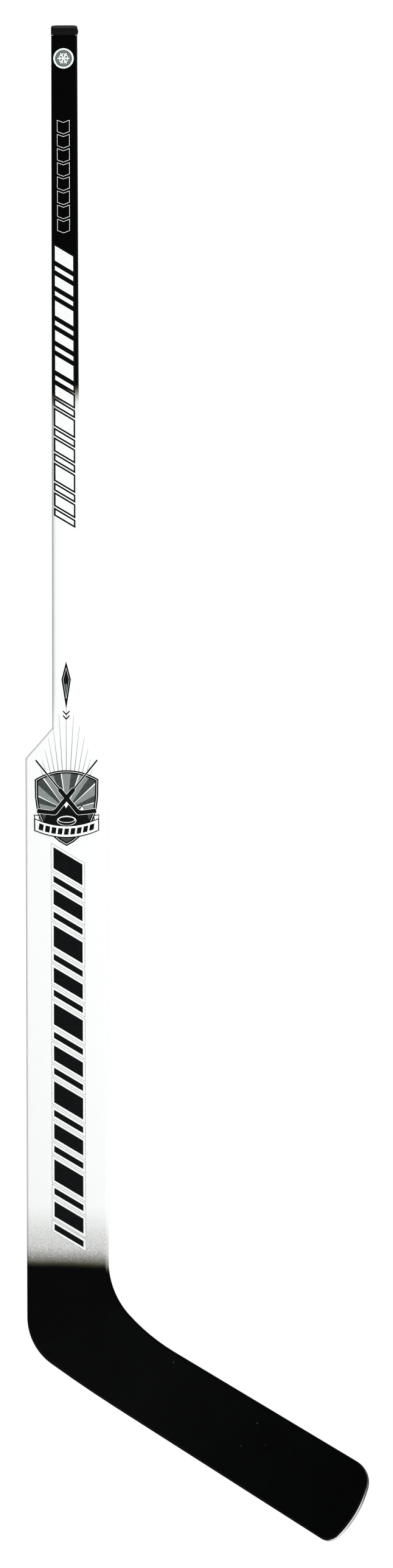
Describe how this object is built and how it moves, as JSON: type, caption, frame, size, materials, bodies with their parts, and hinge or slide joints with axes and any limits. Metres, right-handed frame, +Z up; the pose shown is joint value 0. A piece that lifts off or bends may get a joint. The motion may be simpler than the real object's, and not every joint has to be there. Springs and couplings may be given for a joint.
{
  "type": "ice hockey goal stick",
  "caption": "Goaltender's ice hockey stick with a tapering hollow shaft, wide flat paddle and a bowed black blade, built up from skins, foam cores, ribs and rails.",
  "frame": {"origin": "on the shaft's centre line, 50 mm above the top of the shoulder, where the blocker hand holds the stick", "axes": "+Z up the shaft to the butt end, +X towards the toe of the blade, +Y out of the back face; the forehand face looks to -Y"},
  "size_m": [0.3722, 0.0426, 1.6516],
  "materials": {
    "cap_plastic": "fine moulded grain, near black",
    "shaft_paint": "gloss lacquer, black at the butt fading to white above the shoulder",
    "paddle_paint": "gloss white lacquer with a sprayed fade to black at the heel",
    "blade_paint": "black lacquer over laminate",
    "laminated_wood": "bare laminated wood",
    "dense_foam": "dense polyurethane foam",
    "core_foam": "light rigid foam",
    "carbon_rib": "cured carbon laminate",
    "edge_rail": "pale moulded plastic",
    "blade_rail": "pale moulded plastic, painted over",
    "print_black": "black print under clear lacquer",
    "print_white": "white print under clear lacquer",
    "print_grey": "grey print under clear lacquer"
  },
  "bodies": {
    "root": {"butt_end_cap": "cap_plastic", "shaft_tube": "shaft_paint", "paddle_tenon": "laminated_wood", "shoulder_block_left": "dense_foam", "shoulder_block_right": "dense_foam", "paddle_rib_left": "carbon_rib", "paddle_rib_right": "carbon_rib", "paddle_core_center": "core_foam", "paddle_core_left": "core_foam", "paddle_core_right": "core_foam", "paddle_edge_left": "edge_rail", "paddle_edge_right": "edge_rail", "paddle_skin_front": "paddle_paint", "paddle_skin_back": "paddle_paint", "heel_block": "laminated_wood", "toe_block": "blade_rail", "blade_edge_top": "blade_rail", "blade_edge_sole": "blade_rail", "blade_stringer": "carbon_rib", "blade_core_upper": "core_foam", "blade_core_lower": "core_foam", "blade_skin_front": "blade_paint", "blade_skin_back": "blade_paint"}
  },
  "joints": []
}
